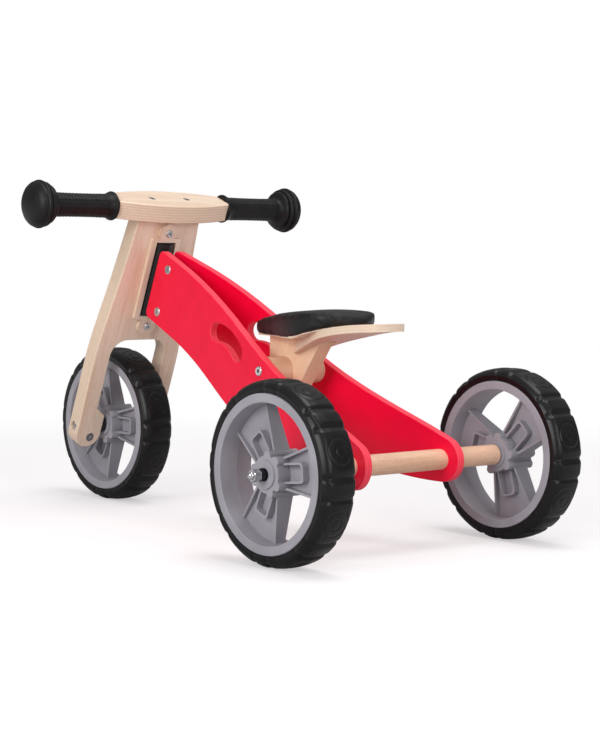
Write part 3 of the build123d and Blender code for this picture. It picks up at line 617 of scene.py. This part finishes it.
def applied(piece):
    shape = bpy.data.meshes.new_from_object(piece.evaluated_get(bpy.context.evaluated_depsgraph_get()))
    piece.modifiers.clear()
    piece.data = shape


def cornerFold(place):
    # the cover gathers in a fan of small folds round each rear corner
    look = cushion
    away = Vector((abs(place.x), place.y, place.z)) - Vector(look["foldAt"])
    fan = atan2(away.z, away.y - away.x)
    ebb = exp(-((away.length / look["foldReach"]) ** 2))
    ripple = cos(look["folds"] * fan + look["foldBend"] * away.length)
    return ebb * look["foldDepth"] * (ripple - 1) / 2


def saddle():
    look = cushion
    low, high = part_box("saddle_pad")
    piece = mergedCopy("saddle_pad", "saddle_cover")
    inner = mergedCopy("saddle_base", "saddle_base_copy")
    wider = Matrix.Diagonal((look["baseWider"], 1.0, 1.0, 1.0))
    inner.data.transform(Matrix.Translation((0, 0, -look["wrap"] * mm)) @ wider)
    join = piece.modifiers.new("join", "BOOLEAN")
    join.operation = "UNION"
    join.solver = "EXACT"
    join.object = inner
    applied(piece)
    bpy.data.objects.remove(inner)
    remesh = piece.modifiers.new("remesh", "REMESH")
    remesh.mode = "VOXEL"
    remesh.voxel_size = look["voxel"]
    applied(piece)
    bm = bmesh.new()
    bm.from_mesh(piece.data)
    for number in range(look["smoothing"]):
        bmesh.ops.smooth_vert(bm, verts=bm.verts, factor=0.5, use_axis_x=True, use_axis_y=True,
            use_axis_z=True)
    bm.normal_update()
    for vert in bm.verts:
        vert.co -= vert.normal * look["shrink"] * mm
    bm.to_mesh(piece.data)
    bm.free()
    start = [vert.co.copy() for vert in piece.data.vertices]
    held = piece.vertex_groups.new(name="held")
    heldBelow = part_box("saddle_base")[0].z + look["heldAbove"] * mm  # the cover is held round the base
    for vert in piece.data.vertices:
        rise = max(0, vert.co.y - look["heldFrom"]) * look["heldSlope"]
        if vert.co.z < heldBelow + rise:
            held.add([vert.index], 1.0, "REPLACE")
    cloth = piece.modifiers.new("cloth", "CLOTH")
    cloth.settings.vertex_group_mass = "held"
    cloth.settings.use_pressure = True
    cloth.settings.uniform_pressure_force = look["pressure"]
    cloth.settings.effector_weights.gravity = 0
    cloth.settings.tension_stiffness = look["stiffness"]
    cloth.settings.compression_stiffness = look["stiffness"]
    cloth.settings.quality = look["quality"]
    for number in range(1, look["frames"] + 1):
        bpy.context.scene.frame_set(number)
    applied(piece)
    bpy.context.scene.frame_set(1)
    for vert, old in zip(piece.data.vertices, start):
        move = vert.co - old
        if move.length > look["cap"]:
            vert.co = old + move * (look["cap"] / move.length)
    finer = piece.modifiers.new("finer", "SUBSURF")
    finer.levels = finer.render_levels = 1
    applied(piece)
    bm = bmesh.new()
    bm.from_mesh(piece.data)
    bm.normal_update()
    moves = [(vert, vert.normal * cornerFold(vert.co) * mm) for vert in bm.verts]
    for vert, move in moves:
        vert.co += move
    bm.to_mesh(piece.data)
    bm.free()
    room = look["sideRoom"] * mm
    for vert in piece.data.vertices:
        vert.co.x = max(low.x + room, min(high.x - room, vert.co.x))
        vert.co.y = max(low.y + room, min(high.y - room, vert.co.y))
        vert.co.z = min(high.z + look["topRoom"] * mm, vert.co.z)
    for face in piece.data.polygons:
        face.use_smooth = True
    piece.data.materials.clear()
    piece.data.materials.append(finishes["saddle"])
    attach(piece, "frame")
    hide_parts("saddle_pad")


saddle()
print("saddle ready")


white = (1, 1, 1, 1)
studio = {
    "floor": 6.0, "floorColor": (0.5, 0.49, 0.495, 1), "glowColor": (1, 0.975, 0.985, 1), "glow": 0.5,
    "fadeFrom": 0.45, "fadeTo": 1.3, "horizon": 0.15, "zenith": 0.45, "zenithAt": 0.7,
}
lamps = {
    "key": {"place": (-0.2, 0.5, 2.4), "target": (0, 0, 0.1), "size": 1.3, "power": 27.0},
    "fill": {"place": (2.2, 0.7, 1.0), "target": (0, 0, 0.15), "size": 1.2, "power": 33.0},
    "back": {"place": (0.2, 2.3, 0.9), "target": (0, 0, 0.15), "size": 0.8, "power": 13.0},
}


def paleFloor():
    # a matte floor that brightens to plain white further out
    bm = bmesh.new()
    bmesh.ops.create_grid(bm, x_segments=1, y_segments=1, size=studio["floor"])
    mesh = bpy.data.meshes.new("floor")
    bm.to_mesh(mesh)
    bm.free()
    floor = bpy.data.objects.new("floor", mesh)
    bpy.context.scene.collection.objects.link(floor)
    finish = Finish("floor")
    reach = finish.node("ShaderNodeVectorMath", {"operation": "LENGTH"}, {0: finish.place}, 1)
    seen = finish.node("ShaderNodeLightPath")
    matte = finish.node("ShaderNodeBsdfDiffuse", None, {"Color": studio["floorColor"]})
    glow = finish.node("ShaderNodeEmission", None,
        {"Color": studio["glowColor"], "Strength": seen * studio["glow"]})
    near = finish.node("ShaderNodeAddShader", None, {0: matte, 1: glow})
    far = finish.node("ShaderNodeEmission", None, {"Color": white, "Strength": 1.0})
    fade = finish.ramp(reach, studio["fadeFrom"], studio["fadeTo"])
    both = finish.node("ShaderNodeMixShader", None, {0: fade, 1: near, 2: far})
    finish.node("ShaderNodeOutputMaterial", None, {"Surface": both})
    mesh.materials.append(finish.material)


def softbox(name, look):
    lamp = bpy.data.lights.new(name, "AREA")
    lamp.shape = "SQUARE"
    lamp.size = look["size"]
    lamp.energy = look["power"]
    light = bpy.data.objects.new(name, lamp)
    light.location = look["place"]
    aim = Vector(look["target"]) - Vector(look["place"])
    light.rotation_euler = aim.to_track_quat("-Z", "Y").to_euler()
    bpy.context.scene.collection.objects.link(light)


def paleWorld():
    # white behind everything, and a softer, darker room in the light and the reflections
    world = bpy.data.worlds.new("studio")
    world.use_nodes = True
    tree = world.node_tree
    tree.nodes.clear()
    room = tree.nodes.new("ShaderNodeBackground")
    plain = tree.nodes.new("ShaderNodeBackground")
    seen = tree.nodes.new("ShaderNodeLightPath")
    both = tree.nodes.new("ShaderNodeMixShader")
    place = tree.nodes.new("ShaderNodeTexCoord")
    split = tree.nodes.new("ShaderNodeSeparateXYZ")
    ramp = tree.nodes.new("ShaderNodeValToRGB")
    ramp.color_ramp.elements[0].position = 0.0
    ramp.color_ramp.elements[0].color = (*[studio["horizon"]] * 3, 1)
    ramp.color_ramp.elements[1].position = studio["zenithAt"]
    ramp.color_ramp.elements[1].color = (*[studio["zenith"]] * 3, 1)
    out = tree.nodes.new("ShaderNodeOutputWorld")
    links = tree.links
    links.new(place.outputs["Generated"], split.inputs[0])
    links.new(split.outputs["Z"], ramp.inputs[0])
    links.new(ramp.outputs[0], room.inputs["Color"])
    links.new(seen.outputs["Is Camera Ray"], both.inputs[0])
    links.new(room.outputs[0], both.inputs[1])
    links.new(plain.outputs[0], both.inputs[2])
    links.new(both.outputs[0], out.inputs[0])
    plain.inputs["Color"].default_value = white
    bpy.context.scene.world = world


view = {
    "place": (1.261, 1.5546, 0.2947), "right": (-0.7596, 0.6503, 0.0143), "up": (-0.0348, -0.0625, 0.9974),
    "back": (0.6495, 0.7571, 0.0701), "lens": 93.6, "sensor": 36.0,
}


def camera():
    lens = bpy.data.cameras.new("camera")
    lens.lens = view["lens"]
    lens.sensor_width = view["sensor"]
    seat = bpy.data.objects.new("camera", lens)
    turn = Matrix((view["right"], view["up"], view["back"])).transposed().to_4x4()
    seat.matrix_world = Matrix.Translation(view["place"]) @ turn
    bpy.context.scene.collection.objects.link(seat)
    bpy.context.scene.camera = seat


paleFloor()
paleWorld()
for name, look in lamps.items():
    softbox(name, look)
camera()
bpy.context.scene.view_settings.view_transform = "Standard"
print("stage ready")
